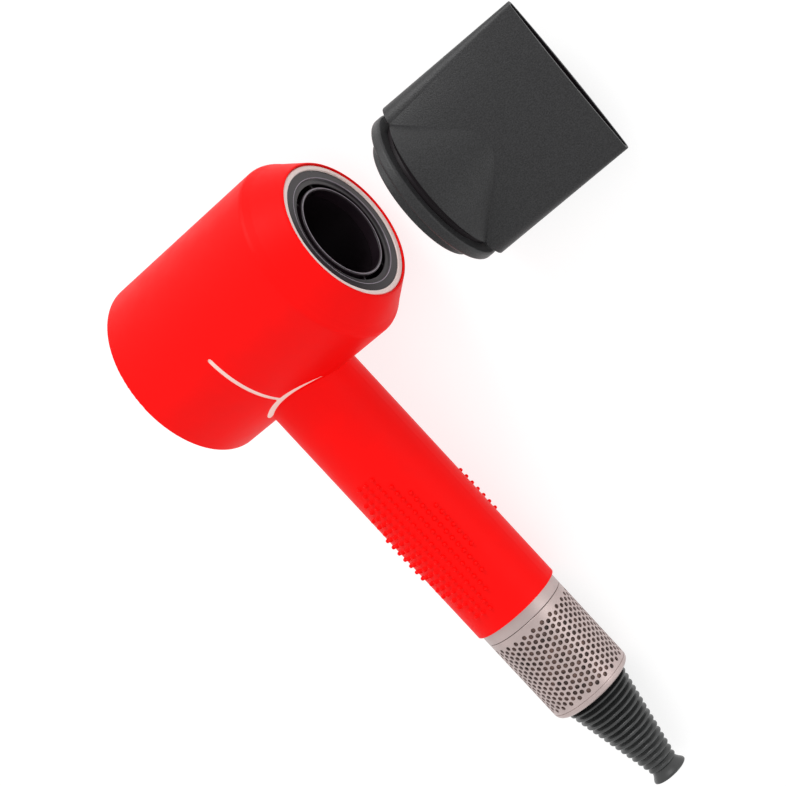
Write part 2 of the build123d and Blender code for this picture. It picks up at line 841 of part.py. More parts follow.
def build_power_board():
    return block((board_face_x, power_board_x), (power_board_top, power_board_bottom),
                 (-board_half_width, board_half_width))


def build_slide_switch():
    keeper_half = slider_keeper_width / 2
    keeper_x = slider_keeper + run_gap - math.sqrt(plate_inner_radius ** 2 - keeper_half ** 2)
    middle = slider_rest_drop - slider_travel / 2
    half = slide_switch_length / 2
    return block((keeper_x + switch_gap, board_face_x), (middle - half, middle + half),
                 (-slide_switch_width / 2, slide_switch_width / 2))


def build_capacitor():
    can = rod_x(capacitor_radius, power_board_x, power_board_x + capacitor_length, -capacitor_drop)
    return fillet(can.faces().sort_by(Axis.X)[-1].edges(), capacitor_round)


def build_heat_sink():
    base_x = power_board_x + sink_base
    body = block((power_board_x, base_x), (sink_top, sink_bottom), (-sink_half_width, sink_half_width))
    pitch = (2 * sink_half_width - sink_fin) / (sink_fins - 1)
    room = handle_inner_radius - sink_clearance
    for number in range(sink_fins):
        z = -sink_half_width + pitch * number
        reach = min(sink_height, math.sqrt(room ** 2 - (abs(z) + sink_fin) ** 2) - base_x)
        body += block((base_x - overlap, base_x + reach), (sink_top, sink_bottom), (z, z + sink_fin))
    return body


# ================================================================ motor
motor_duct_radius = handle_inner_radius - motor_duct_gap
motor_bore = motor_duct_radius - motor_duct_wall
hub_top = motor_top + hub_inset
shaft_top = motor_top - shaft_proud
hub_bottom = hub_top + hub_length
bearing_drops = (hub_top + bearing_inset, hub_bottom - bearing_inset - bearing_width)
impeller_top = hub_bottom + impeller_gap
shaft_bottom = impeller_top + impeller_length


def build_motor_housing():
    body = ring_y(motor_duct_radius, motor_bore, motor_top, motor_bottom)
    hub = rod_y(hub_radius, hub_top, hub_bottom)
    hub -= rod_y(hub_radius - hub_wall, hub_top + hub_end_wall, hub_bottom - hub_end_wall)
    hub -= rod_y(bearing_outer_radius + bearing_gap, hub_top - overshoot, hub_bottom + overshoot)
    vane_height = motor_bore - hub_radius + hub_wall
    middle = (motor_bore + hub_radius) / 2
    vane_drop = hub_bottom - vane_length / 2 - vane_end_gap
    for number in range(vane_count):
        vane = Rot(X=vane_pitch) * Box(vane_height, vane_length, vane_thickness)
        hub += Rot(Y=360 / vane_count * number) * Pos(middle, -vane_drop, 0) * vane
    return body + hub


def build_motor_stator():
    gap = hub_end_wall + stator_end_gap
    body = ring_y(hub_radius - hub_wall - fit_gap, stator_inner_radius, hub_top + gap, hub_bottom - gap)
    slot_circle = (hub_radius - hub_wall + stator_inner_radius) / 2
    for number in range(stator_slot_count):
        angle = 2 * math.pi * number / stator_slot_count
        x, z = slot_circle * math.cos(angle), slot_circle * math.sin(angle)
        body -= rod_y(stator_slot_radius, motor_top, hub_bottom, x, z)
    return body


def build_motor_bearings():
    return group(ring_y(bearing_outer_radius, shaft_radius + bearing_gap, drop, drop + bearing_width)
                 for drop in bearing_drops)


def build_rotor_shaft():
    return rod_y(shaft_radius, shaft_top, shaft_bottom)


def build_rotor_magnet():
    gap = hub_end_wall + rotor_magnet_end_gap
    return ring_y(rotor_magnet_radius, shaft_radius + bearing_gap, hub_top + gap, hub_bottom - gap)


def build_impeller():
    body = turned_y(
        (impeller_top, shaft_radius + bearing_gap),
        (impeller_top, impeller_hub_radius),
        (impeller_top + impeller_waist_drop, impeller_waist_radius, impeller_waist_round),
        (shaft_bottom, impeller_nose_radius, impeller_nose_round),
        (shaft_bottom, shaft_radius + bearing_gap),
    )
    tip = motor_bore - blade_tip_gap
    root = impeller_nose_radius
    drop = impeller_top + impeller_length / 2
    chord = blade_height / math.cos(math.radians(blade_root_pitch))

    def section(radius, pitch):
        across = Plane(origin=(radius, -drop, 0), x_dir=(0, 1, 0), z_dir=(1, 0, 0))
        return across * Rot(Z=pitch) * Rectangle(chord, blade_thickness)

    blade = loft([section(root, blade_root_pitch), section(tip + overshoot, blade_tip_pitch)])
    ring = ring_y(tip, root - overshoot, impeller_top + blade_end_gap, shaft_bottom - blade_end_gap)
    for number in range(blade_count):
        body += (Rot(Y=360 / blade_count * number) * blade) & ring
    return body


def build_motor_mounts():
    outer = handle_inner_radius - bearing_gap
    top = motor_top + mount_inset
    bottom = motor_bottom - mount_inset
    return group([
        ring_y(outer, motor_duct_radius, top, top + mount_length),
        ring_y(outer, motor_duct_radius, bottom - mount_length, bottom),
    ])


def build_inlet_bell():
    outer = handle_inner_radius - fit_gap
    top = motor_bottom + fit_gap
    return turned_y((top, motor_bore), (top, outer), (top + bell_length, outer),
                    (top + bell_length, outer - bell_lip), (top + bell_throat, motor_bore + bell_flare))


# ================================================================ inlet end
collar_wall_radius = handle_radius + collar_step
collar_inner_radius = handle_inner_radius - fit_gap - collar_wall_inside
cage_radius = collar_wall_radius
cage_mouth_radius = cage_radius - cage_mouth_lip
cage_first_hole = collar_end + cage_hole_lead
collar_socket_radius = cage_radius - cage_wall
cage_spigot_radius = collar_socket_radius - run_gap
cage_top = collar_end + run_gap
mesh_radius = cage_radius - cage_wall - mesh_gap


def build_inlet_collar():
    outer = handle_inner_radius - fit_gap
    return turned_y(
        (sleeve_end - collar_spigot_depth, collar_inner_radius),
        (sleeve_end - collar_spigot_depth, outer),
        (sleeve_end, outer),
        (sleeve_end, collar_wall_radius),
        (collar_end, collar_wall_radius),
        (collar_end, collar_socket_radius),
        (collar_end - collar_socket_depth, collar_socket_radius),
        (collar_end - collar_socket_depth, collar_inner_radius),
    )


def build_filter_cage():
    body = turned_y(
        (cage_top, cage_spigot_radius - cage_spigot_wall),
        (cage_top - cage_spigot_depth, cage_spigot_radius - cage_spigot_wall),
        (cage_top - cage_spigot_depth, cage_spigot_radius),
        (cage_top, cage_spigot_radius),
        (cage_top, cage_radius),
        (cage_end, cage_radius, cage_corner),
        (cage_end, cage_mouth_radius),
        (cage_end - cage_floor, cage_mouth_radius),
        (cage_end - cage_floor, cage_radius - cage_wall, cage_inner_corner),
        (cage_top + 2 * cage_wall, cage_radius - cage_wall),
    )
    half = cage_hole_size / 2
    hole = make_face(Polyline((0, -half), (half, 0), (0, half), (-half, 0), close=True))
    cutters = []
    for row in range(cage_hole_rows):
        drop = cage_first_hole + cage_hole_pitch * row
        tool = extrude(Plane.YZ.offset(cage_radius - 3 * cage_wall) * Pos(-drop, 0) * hole, 4 * cage_wall)
        for column in range(cage_hole_columns):
            turn = 360 / cage_hole_columns * (column + (row % 2) / 2)
            cutters.append(Rot(Y=turn) * tool)
    return body - cutters


def build_filter_mesh():
    return ring_y(mesh_radius, mesh_radius - mesh_wall, cage_top + mesh_inset, cage_end - cage_margin)


core_radius = cage_mouth_radius - core_gap
core_ring_top = sleeve_end - core_ring_lead
core_end = cage_end + core_proud
core_disc_top = core_end - core_disc


def build_inlet_core():
    ring_radius = collar_inner_radius - fit_gap
    ring_bottom = collar_end - collar_socket_depth
    body = ring_y(ring_radius, ring_radius - core_ring_wall, core_ring_top, ring_bottom)
    body += ring_y(core_radius, relief_neck_radius + fit_gap, core_disc_top, core_end)
    centre = core_radius - core_post_radial / 2 - core_post_inset
    post = block((centre - core_post_radial / 2, centre + core_post_radial / 2),
                 (core_ring_top, core_disc_top + overlap), (-core_post_width / 2, core_post_width / 2))
    for number in range(core_post_count):
        body += Rot(Y=360 / core_post_count * (number + 0.5)) * post
    hole_radius = screw_radius + bearing_gap
    hole_end = core_end - clamp_screw_floor
    for side in (1, -1):
        body -= rod_y(hole_radius, core_disc_top - overshoot, hole_end, side * clamp_screw_x)
    return body


relief_root_radius = core_radius - relief_inset
relief_first_rib = cage_end + relief_lead
relief_last_rib = relief_first_rib + relief_ribs_length
relief_end = relief_last_rib + relief_tail


def relief_radius(drop):
    share = (drop - relief_first_rib) / (relief_last_rib - relief_first_rib)
    return relief_root_radius + (relief_tip_radius - relief_root_radius) * share


def build_strain_relief():
    flange_top = core_disc_top - fit_gap - relief_flange
    shoulder = core_end + fit_gap
    corners = [
        (flange_top, cord_bore_radius),
        (flange_top, relief_flange_radius),
        (flange_top + relief_flange, relief_flange_radius),
        (flange_top + relief_flange, relief_neck_radius),
        (shoulder, relief_neck_radius),
        (shoulder, relief_root_radius),
    ]
    pitch = (relief_last_rib - relief_first_rib) / (relief_rib_count - 1)
    for number in range(relief_rib_count):
        start = relief_first_rib + pitch * number
        end = start + pitch * relief_rib_share
        if number:
            corners += [(start, relief_radius(start) - relief_rib_depth), (start, relief_radius(start))]
        corners += [(end, relief_radius(end)), (end, relief_radius(end) - relief_rib_depth)]
    ring_start = relief_end - relief_end_ring
    corners += [
        (ring_start, relief_tip_radius - relief_rib_depth),
        (ring_start, relief_end_radius),
        (relief_end, relief_end_radius),
        (relief_end, cord_bore_radius),
    ]
    return turned_y(*corners)


clamp_bottom = core_disc_top - fit_gap - relief_flange - fit_gap


def build_cord_clamp():
    half = clamp_length / 2
    across = (-clamp_width / 2, clamp_width / 2)
    body = block((-half, half), (clamp_bottom - clamp_height, clamp_bottom), across)
    for side in (1, -1):
        ends = sorted((side * half, side * (half - clamp_foot)))
        body += block(ends, (clamp_bottom - overlap, core_disc_top - fit_gap / 2), across)
        body -= rod_y(screw_radius + fit_gap, 0, 2 * cage_end, side * clamp_screw_x)
    return body - rod_y(cord_bore_radius - clamp_bite, 0, 2 * cage_end)


def build_clamp_screws():
    top = clamp_bottom - clamp_height
    screws = []
    for side in (1, -1):
        shank = rod_y(screw_radius, top - overlap, top + clamp_screw_length, side * clamp_screw_x)
        screws.append(shank + rod_y(screw_head_radius, top - screw_head, top, side * clamp_screw_x))
    return group(screws)


# ================================================================ nozzle
def lens(width, middle_height, end_height):
    """Flat oval: two long crowned sides that meet two round ends."""
    end = width / 2 - end_height * body_end_share
    half, tall = end_height / 2, middle_height / 2
    return make_face([
        ThreePointArc((-end, half), (0, tall), (end, half)),
        ThreePointArc((end, half), (width / 2, 0), (end, -half)),
        ThreePointArc((end, -half), (0, -tall), (-end, -half)),
        ThreePointArc((-end, -half), (-width / 2, 0), (-end, half)),
    ])


flange_radius = trim_outer_radius + flange_overhang
collar_radius = trim_inner_radius - collar_gap
collar_lip_radius = collar_radius + collar_lip_height
nozzle_bore_radius = slot_outer_radius
neck_radius = nozzle_bore_radius + neck_wall
nozzle_body_x = flange_thickness + neck_length
nozzle_inner_x = nozzle_body_x + nozzle_wall
bulge_end_x = nozzle_body_x + bulge_length


def bulge_section(x, wall=0.0):
    """Ellipse of the bulge at x, taken in by a wall."""
    share = 1 - (1 - bulge_share) * (x - nozzle_body_x) / bulge_length
    return Plane.YZ.offset(x) * Ellipse(bulge_half_width * share - wall, bulge_half_height * share - wall)


def lens_at(x, width, middle_height, end_height):
    return Plane.YZ.offset(x) * lens(width, middle_height, end_height)


def build_nozzle_shell():
    """The concentrator in its own place: the rear face of its flange is at x = 0."""
    mouth_x = nozzle_body_x + body_length
    thin = 2 * nozzle_wall
    body = loft([
        lens_at(nozzle_body_x, body_width, body_height, body_end_height),
        lens_at(mouth_x, mouth_width, mouth_height, mouth_end_height),
    ])
    body += loft([bulge_section(nozzle_body_x), bulge_section(bulge_end_x)])
    body += turned_x(
        (0, 0),
        (0, flange_radius, flange_round),
        (flange_thickness, flange_radius, flange_round),
        (flange_thickness, 0),
    )
    body += rod_x(neck_radius, flange_thickness - overlap, nozzle_inner_x)
    inside = loft([
        lens_at(nozzle_inner_x, body_width - thin, body_height - thin, body_end_height - thin),
        lens_at(mouth_x, mouth_width - thin, mouth_height - thin, mouth_end_height - nozzle_wall),
    ])
    inside += loft([bulge_section(nozzle_inner_x, bulge_wall), bulge_section(bulge_end_x, bulge_wall)])
    inside += rod_x(nozzle_bore_radius, -overshoot, nozzle_inner_x + overlap)
    groove_x = flange_thickness / 2 - collar_lip / 2 - run_gap
    groove = rod_x(collar_lip_radius + run_gap, groove_x, groove_x + collar_lip + 2 * run_gap)
    groove += rod_x(collar_radius + run_gap, -overshoot, flange_thickness / 2)
    return body - inside - groove


def build_nozzle_ring():
    """Seat ring that snaps into the flange and stays still while the shell turns on it."""
    lip_x = flange_thickness / 2 - collar_lip / 2
    return turned_x(
        (-collar_length, collar_radius - collar_wall),
        (-collar_length, collar_radius, collar_round),
        (lip_x, collar_radius),
        (lip_x, collar_lip_radius),
        (lip_x + collar_lip, collar_lip_radius),
        (lip_x + collar_lip, collar_radius - collar_wall),
    )


# ================================================================ laying it down
def lie_angle():
    """Turn about the head axis that brings the cage's end down onto the surface."""
    wall_end = cage_end - cage_margin
    reach = math.hypot(wall_end, cage_radius)
    return math.degrees(math.asin(barrel_radius / reach) - math.atan2(cage_radius, wall_end))


def nozzle_rest():
    """Where the nozzle lies: the rounded front edge of its flange touches the surface."""
    dip = math.radians(nozzle_dip)
    height = (flange_radius - flange_round) * math.cos(dip) + flange_round
    height += (flange_thickness - flange_round) * math.sin(dip)
    lying = Pos(nozzle_lying_x, nozzle_lying_y, height - barrel_radius) * Rot(Y=nozzle_dip)
    return Rot(X=-lie_angle()) * lying


def nozzle_seat():
    """Where the nozzle sits on the dryer, its ring just off the outlet's face."""
    return Pos(face_x + collar_length + fit_gap, 0, 0)


def build_all():
    nozzle = nozzle_rest()
    return {
        "silicone_sleeve": build_sleeve(),
        "head_shell": build_head_shell(),
        "front_trim_ring": build_front_trim_ring(),
        "outlet_insert": build_outlet_insert(),
        "outlet_magnets": build_outlet_magnets(),
        "outlet_duct": build_outlet_duct(),
        "inner_duct": build_inner_duct(),
        "rear_ring": build_rear_ring(),
        "heat_button": build_button(1),
        "speed_button": build_button(-1),
        "control_board": build_control_board(),
        "button_switches": build_button_switches(),
        "indicator_leds": build_indicator_leds(),
        "indicator_lenses": build_indicator_lenses(),
        "board_screws": build_board_screws(),
        "heater_frame": build_heater_frame(),
        "heater_coil": build_heater_coil(),
        "heater_shroud": build_heater_shroud(),
        "thermal_fuse": build_thermal_fuse(),
        "thermostat": build_thermostat(),
        "ioniser": build_ioniser(),
        "handle_shell": build_handle_shell(),
        "neck_gasket": build_neck_gasket(),
        "switch_plate": build_switch_plate(),
        "power_slider": build_power_slider(),
        "cool_shot_button": build_cool_shot_button(),
        "cool_shot_switch": build_cool_shot_switch(),
        "power_board": build_power_board(),
        "slide_switch": build_slide_switch(),
        "filter_capacitor": build_capacitor(),
        "heat_sink": build_heat_sink(),
        "motor_housing": build_motor_housing(),
        "motor_stator": build_motor_stator(),
        "motor_bearings": build_motor_bearings(),
        "rotor_shaft": build_rotor_shaft(),
        "rotor_magnet": build_rotor_magnet(),
        "impeller": build_impeller(),
        "motor_mounts": build_motor_mounts(),
        "inlet_bell": build_inlet_bell(),
        "inlet_collar": build_inlet_collar(),
        "filter_cage": build_filter_cage(),
        "filter_mesh": build_filter_mesh(),
        "inlet_core": build_inlet_core(),
        "strain_relief": build_strain_relief(),
        "cord_clamp": build_cord_clamp(),
        "clamp_screws": build_clamp_screws(),
        "nozzle_shell": nozzle * build_nozzle_shell(),
        "nozzle_ring": nozzle * build_nozzle_ring(),
    }


def lay_down(pieces):
    """Turn every piece onto its side, and centre the whole on the surface it lies on."""
    turned = {name: Rot(X=lie_angle()) * piece for name, piece in pieces.items()}
    box = Compound([piece for piece in turned.values()]).bounding_box()
    place = Pos(-(box.min.X + box.max.X) / 2, -(box.min.Y + box.max.Y) / 2, -box.min.Z)
    return {name: place * piece for name, piece in turned.items()}, place * Rot(X=lie_angle())


def main():
    os.makedirs("parts", exist_ok=True)
    laid, _ = lay_down(build_all())
    for name, piece in laid.items():
        export_step(piece, f"parts/{name}.step")


main()
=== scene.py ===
import json
import math

import bmesh
import bpy
from mathutils import Matrix, Vector


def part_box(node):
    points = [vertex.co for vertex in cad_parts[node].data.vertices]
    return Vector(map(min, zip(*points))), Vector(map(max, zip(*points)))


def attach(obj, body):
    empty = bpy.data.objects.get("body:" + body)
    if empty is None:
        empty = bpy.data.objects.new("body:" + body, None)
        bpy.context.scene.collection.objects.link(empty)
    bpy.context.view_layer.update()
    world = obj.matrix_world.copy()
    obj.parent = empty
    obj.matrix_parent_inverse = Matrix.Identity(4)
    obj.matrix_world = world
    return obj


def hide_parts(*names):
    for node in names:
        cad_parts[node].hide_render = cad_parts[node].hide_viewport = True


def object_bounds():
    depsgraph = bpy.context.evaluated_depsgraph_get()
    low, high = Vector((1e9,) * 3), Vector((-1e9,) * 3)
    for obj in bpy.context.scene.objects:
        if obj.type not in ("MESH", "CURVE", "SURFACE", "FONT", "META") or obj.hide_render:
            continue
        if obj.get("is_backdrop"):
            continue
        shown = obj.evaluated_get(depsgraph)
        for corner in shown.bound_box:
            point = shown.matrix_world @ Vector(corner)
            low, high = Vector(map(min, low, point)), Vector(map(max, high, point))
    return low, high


# A hair dryer in a soft sleeve, lying on its side, with its nozzle taken off.
# Pieces are described in the dryer's own frame, in millimetres: X along the head
# axis towards the outlet, the handle along -Y, and "drop" the distance down the
# handle.  place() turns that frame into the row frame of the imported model.

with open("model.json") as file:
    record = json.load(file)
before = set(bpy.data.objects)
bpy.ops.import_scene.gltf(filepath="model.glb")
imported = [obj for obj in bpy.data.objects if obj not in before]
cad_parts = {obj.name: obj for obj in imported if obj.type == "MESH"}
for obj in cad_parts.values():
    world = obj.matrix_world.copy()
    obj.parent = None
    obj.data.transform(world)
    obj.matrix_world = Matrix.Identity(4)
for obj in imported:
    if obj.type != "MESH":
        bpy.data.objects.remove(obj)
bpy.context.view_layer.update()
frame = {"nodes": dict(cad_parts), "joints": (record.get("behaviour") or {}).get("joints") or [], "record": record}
nodes = frame["nodes"]

MM = 0.001
IMAGE_SIZE = 786          # pixels, both ways
SENSOR_WIDTH = 36


# ---------------------------------------------------------------- where things lie
def own_frame():
    """The dryer's own frame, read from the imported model."""
    down = Vector(next(j["axis"] for j in frame["joints"] if j["name"] == "filter_pull"))
    duct = [sum(pair) / 2 for pair in zip(*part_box("inner_duct"))]
    relief = [sum(pair) / 2 for pair in zip(*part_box("strain_relief"))]
    turn = Matrix((Vector((1, 0, 0)), -down, Vector((1, 0, 0)).cross(-down))).transposed()
    return Vector((relief[0], duct[1], duct[2])), turn


ORIGIN, TURN = own_frame()


def place(x, y, z):
    return ORIGIN + TURN @ (Vector((x, y, z)) * MM)


def on_handle(radius, drop, angle):
    """A point round the handle: the angle runs from +Z towards +X."""
    return place(radius * math.sin(angle), -drop, radius * math.cos(angle))


# ---------------------------------------------------------------- camera
# Angles in degrees and distances in millimetres, in the dryer's own frame; the focal
# length is in pixels.
CAMERA = {"azimuth": 100.99, "elevation": 55.58, "roll": 218.21, "distance": 998.4,
          "focal": 2455.36, "shift_right": 59.5, "shift_up": -32.23,
          "clip_start": 0.05, "clip_end": 20}


def make_camera():
    a, e, roll = (math.radians(CAMERA[k]) for k in ("azimuth", "elevation", "roll"))
    back = Vector((math.sin(a) * math.cos(e), -math.cos(a) * math.cos(e), math.sin(e)))
    level = Vector((math.cos(a), math.sin(a), 0))
    rise = back.cross(level)
    right = math.cos(roll) * level + math.sin(roll) * rise
    up = math.cos(roll) * rise - math.sin(roll) * level
    eye = back * CAMERA["distance"] + right * CAMERA["shift_right"] + up * CAMERA["shift_up"]
    data = bpy.data.cameras.new("camera")
    data.sensor_fit = "HORIZONTAL"
    data.sensor_width = SENSOR_WIDTH
    data.lens = SENSOR_WIDTH * CAMERA["focal"] / IMAGE_SIZE
    data.clip_start, data.clip_end = CAMERA["clip_start"], CAMERA["clip_end"]
    camera = bpy.data.objects.new("camera", data)
    bpy.context.scene.collection.objects.link(camera)
    axes = Matrix((right, up, back)).transposed()
    camera.matrix_world = Matrix.Translation(place(*eye)) @ (TURN @ axes).to_4x4()
    bpy.context.scene.camera = camera
    return TURN @ right, TURN @ up, TURN @ back


RIGHT, UP, BACK = make_camera()


# ---------------------------------------------------------------- materials
BROAD_GRAIN = 1 / 12      # the slow change of colour, as a share of the fine grain's scale
RAMP_DARK, RAMP_LIGHT = 0.35, 0.65


def linear(colour):
    """A linear colour from 0-255 sRGB levels."""
    return tuple(c / 255 / 12.92 if c < 10.31 else ((c / 255 + 0.055) / 1.055) ** 2.4
                 for c in colour) + (1,)


def finish(name, colour, rough, metal=0.0, vary=0.05, grain=400.0, bump=0.05, rough_vary=0.08,
           coat=0.0, specular=0.5, speckle=0.0, stretch=None, distance=0.0002):
    """A moulded, cast or drawn surface: its colour, roughness and grain all vary a little.

    speckle lifts the light end of the grain, for a coarse moulded skin.
    """
    material = bpy.data.materials.new(name)
    material.use_nodes = True
    tree = material.node_tree
    shader = tree.nodes["Principled BSDF"]
    shader.inputs["Metallic"].default_value = metal
    shader.inputs["Specular IOR Level"].default_value = specular
    shader.inputs["Coat Weight"].default_value = coat
    where = tree.nodes.new("ShaderNodeTexCoord")
    scale = tree.nodes.new("ShaderNodeMapping")
    scale.inputs["Scale"].default_value = stretch or (1, 1, 1)
    tree.links.new(where.outputs["Object"], scale.inputs["Vector"])

    def noise(size, detail):
        node = tree.nodes.new("ShaderNodeTexNoise")
        node.inputs["Scale"].default_value = size
        node.inputs["Detail"].default_value = detail
        tree.links.new(scale.outputs["Vector"], node.inputs["Vector"])
        return node

    broad, fine = noise(grain * BROAD_GRAIN, 3), noise(grain, 4)
    dark = [c * (1 - vary) for c in colour]
    light = [min(255, c * (1 + vary) + 255 * speckle) for c in colour]
    ramp = tree.nodes.new("ShaderNodeValToRGB")
    ramp.color_ramp.elements[0].position = RAMP_DARK
    ramp.color_ramp.elements[0].color = linear(dark)
    ramp.color_ramp.elements[1].position = RAMP_LIGHT
    ramp.color_ramp.elements[1].color = linear(light)
    tree.links.new((fine if speckle else broad).outputs["Fac"], ramp.inputs["Fac"])
    tree.links.new(ramp.outputs["Color"], shader.inputs["Base Color"])
    spread = tree.nodes.new("ShaderNodeMapRange")
    spread.inputs["To Min"].default_value = max(0.02, rough - rough_vary)
    spread.inputs["To Max"].default_value = min(1.0, rough + rough_vary)
    tree.links.new(broad.outputs["Fac"], spread.inputs["Value"])
    tree.links.new(spread.outputs["Result"], shader.inputs["Roughness"])
    relief = tree.nodes.new("ShaderNodeBump")
    relief.inputs["Strength"].default_value = bump
    relief.inputs["Distance"].default_value = distance
    tree.links.new(fine.outputs["Fac"], relief.inputs["Height"])
    tree.links.new(relief.outputs["Normal"], shader.inputs["Normal"])
    return material


FINISHES = {
    "red_silicone": finish("red_silicone", (254, 6, 5), 0.50, vary=0.008, grain=1500, bump=0.10,
                           specular=0.10),
    "body_plastic": finish("body_plastic", (255, 224, 214), 0.42, vary=0.02, grain=900),
    "trim_metal": finish("trim_metal", (255, 232, 226), 0.30, metal=0.04, vary=0.02, grain=700),
    "black_plastic": finish("black_plastic", (31, 22, 28), 0.30, vary=0.08, grain=900, bump=0.04),
    "duct_plastic": finish("duct_plastic", (17, 8, 14), 0.48, vary=0.10, grain=700, bump=0.06,
                           specular=0.3),
    "duct_resin": finish("duct_resin", (205, 192, 168), 0.5, grain=500),
    "switch_bezel": finish("switch_bezel", (222, 205, 194), 0.38, vary=0.02, grain=900),
    "key_plastic": finish("key_plastic", (206, 200, 194), 0.32, vary=0.03, grain=900),
    "lens_plastic": finish("lens_plastic", (236, 240, 244), 0.10, vary=0.01, grain=600,
                           bump=0.01, coat=0.3),
    "led_white": finish("led_white", (244, 238, 214), 0.30, grain=900),
    "board_green": finish("board_green", (24, 92, 48), 0.38, vary=0.12, grain=600, coat=0.25),
    "switch_black": finish("switch_black", (32, 32, 35), 0.42, vary=0.12, grain=900),
    "steel": finish("steel", (176, 176, 180), 0.30, metal=1.0, grain=1200, stretch=(1, 1, 6)),
    "magnet_nickel": finish("magnet_nickel", (168, 165, 158), 0.28, metal=1.0, grain=700),
    "mica": finish("mica", (196, 178, 138), 0.45, vary=0.16, grain=300, bump=0.08, stretch=(1, 3, 1)),
    "heater_wire": finish("heater_wire", (118, 108, 104), 0.45, metal=0.9, vary=0.15, grain=900),
    "fuse_metal": finish("fuse_metal", (190, 190, 192), 0.30, metal=1.0, grain=900),
    "thermostat_ceramic": finish("thermostat_ceramic", (228, 224, 214), 0.30, grain=600, coat=0.3),
    "ioniser_plastic": finish("ioniser_plastic", (222, 222, 216), 0.45, grain=700),
    "rubber_grey": finish("rubber_grey", (58, 58, 60), 0.70, vary=0.10, grain=900, bump=0.10),
    "rubber_black": finish("rubber_black", (32, 34, 34), 0.34, vary=0.08, grain=900, bump=0.06,
                           specular=0.8),
    "capacitor_can": finish("capacitor_can", (66, 78, 112), 0.32, vary=0.06, grain=700, coat=0.2),
    "sink_aluminium": finish("sink_aluminium", (196, 198, 202), 0.40, metal=1.0, grain=900,
                             stretch=(1, 6, 1)),
    "motor_aluminium": finish("motor_aluminium", (172, 174, 178), 0.45, metal=1.0, grain=500,
                              bump=0.10),
    "stator_copper": finish("stator_copper", (168, 98, 56), 0.35, metal=0.9, vary=0.14, grain=900),
    "impeller_aluminium": finish("impeller_aluminium", (206, 208, 212), 0.26, metal=1.0, grain=900),
    "filter_metal": finish("filter_metal", (191, 174, 171), 0.42, metal=0.60, vary=0.03, grain=1100,
                           bump=0.05, rough_vary=0.05),
    "mesh_steel": finish("mesh_steel", (98, 80, 74), 0.62, metal=0.3, vary=0.35, grain=2600, bump=0.5),
    # Pale finish for the thin rim beads: a painted highlight, on top of their own glossy shine.
    "painted_highlight_edge": finish("painted_highlight_edge", (150, 140, 152), 0.20, vary=0.05, grain=900, bump=0.02),
    "nozzle_plastic": finish("nozzle_plastic", (32, 32, 33), 0.42, vary=0.16, grain=1900, bump=0.8,
                             specular=0.34, speckle=0.035, distance=0.00014),
}


def dress_nodes():
    slots = {piece["node"]: piece["material_slot"] for piece in frame["record"]["subparts"]}
    for name, node in nodes.items():
        node.data.materials.clear()
        node.data.materials.append(FINISHES[slots[name]])


dress_nodes()


# ---------------------------------------------------------------- making meshes
def build(name, points, faces, body, slot, smooth_angle=35, look=None):
    mesh = bpy.data.meshes.new(name)
    mesh.from_pydata(points, [], faces)
    work = bmesh.new()
    work.from_mesh(mesh)
    bmesh.ops.remove_doubles(work, verts=work.verts, dist=1e-6)
    bmesh.ops.recalc_face_normals(work, faces=work.faces)
    work.to_mesh(mesh)
    work.free()
    mesh.materials.append(FINISHES[look or slot])
    mesh.shade_smooth()
    mesh.set_sharp_from_angle(angle=math.radians(smooth_angle))
    piece = bpy.data.objects.new(name, mesh)
    bpy.context.scene.collection.objects.link(piece)
    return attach(piece, body) or piece


# ---------------------------------------------------------------- grip bumps
# A square grid: "rows" counts the bumps in the middle row and in each row away from it.
GRIP = {"radius": 20.7, "centre_drop": 118.0, "along": 3.54, "around": 11.25,
        "rows": (21, 21, 17, 13, 7)}
# Radius and height up one bump, from its foot inside the skin.
BUMP_PROFILE = ((1.25, -0.12), (1.02, 0.08), (0.90, 0.40), (0.84, 0.80), (0.66, 1.14), (0.36, 1.32))
BUMP_TOP = 1.37
BUMP_SIDES = 14


def grip_places(side):
    """Drop and angle of each bump; side is +1 (up) or -1 (down)."""
    reach = len(GRIP["rows"]) - 1
    for row in range(-reach, reach + 1):
        count = GRIP["rows"][abs(row)]
        turn = math.radians(row * GRIP["around"])
        for number in range(count):
            drop = GRIP["centre_drop"] + (number - (count - 1) / 2) * GRIP["along"]
            yield drop, (turn if side > 0 else math.pi - turn)


def make_grip(name, side):
    points, faces = [], []
    for drop, angle in grip_places(side):
        out = Vector((math.sin(angle), 0, math.cos(angle)))
        across = Vector((math.cos(angle), 0, -math.sin(angle)))
        foot = out * GRIP["radius"] + Vector((0, -drop, 0))
        first = len(points)
        for radius, height in BUMP_PROFILE:
            for k in range(BUMP_SIDES):
                t = 2 * math.pi * k / BUMP_SIDES
                spot = (foot + out * height + across * radius * math.cos(t)
                        + Vector((0, radius * math.sin(t), 0)))
                points.append(place(*spot))
        points.append(place(*(foot + out * BUMP_TOP)))
        rings = len(BUMP_PROFILE)
        for ring in range(rings - 1):
            for k in range(BUMP_SIDES):
                a, b = first + ring * BUMP_SIDES + k, first + ring * BUMP_SIDES + (k + 1) % BUMP_SIDES
                faces.append((a, b, b + BUMP_SIDES, a + BUMP_SIDES))
        top = first + rings * BUMP_SIDES
        for k in range(BUMP_SIDES):
            faces.append((top - BUMP_SIDES + k, top - BUMP_SIDES + (k + 1) % BUMP_SIDES, top))
        faces.append(tuple(first + k for k in reversed(range(BUMP_SIDES))))
    return build(name, points, faces, "dryer", "red_silicone", 60)


make_grip("grip_bumps_up", 1)
make_grip("grip_bumps_down", -1)


# ---------------------------------------------------------------- perforated cage
CAGE = {"radius": 19.4, "wall": 0.7, "top": 168.7, "end": 212.0, "corner": 2.8, "mouth": 16.5,
        "columns": 50, "rows": 13, "tall": 2.82, "hole": 1.0, "first": 172.6,
        "edge": 0.15, "lip": 1.4}
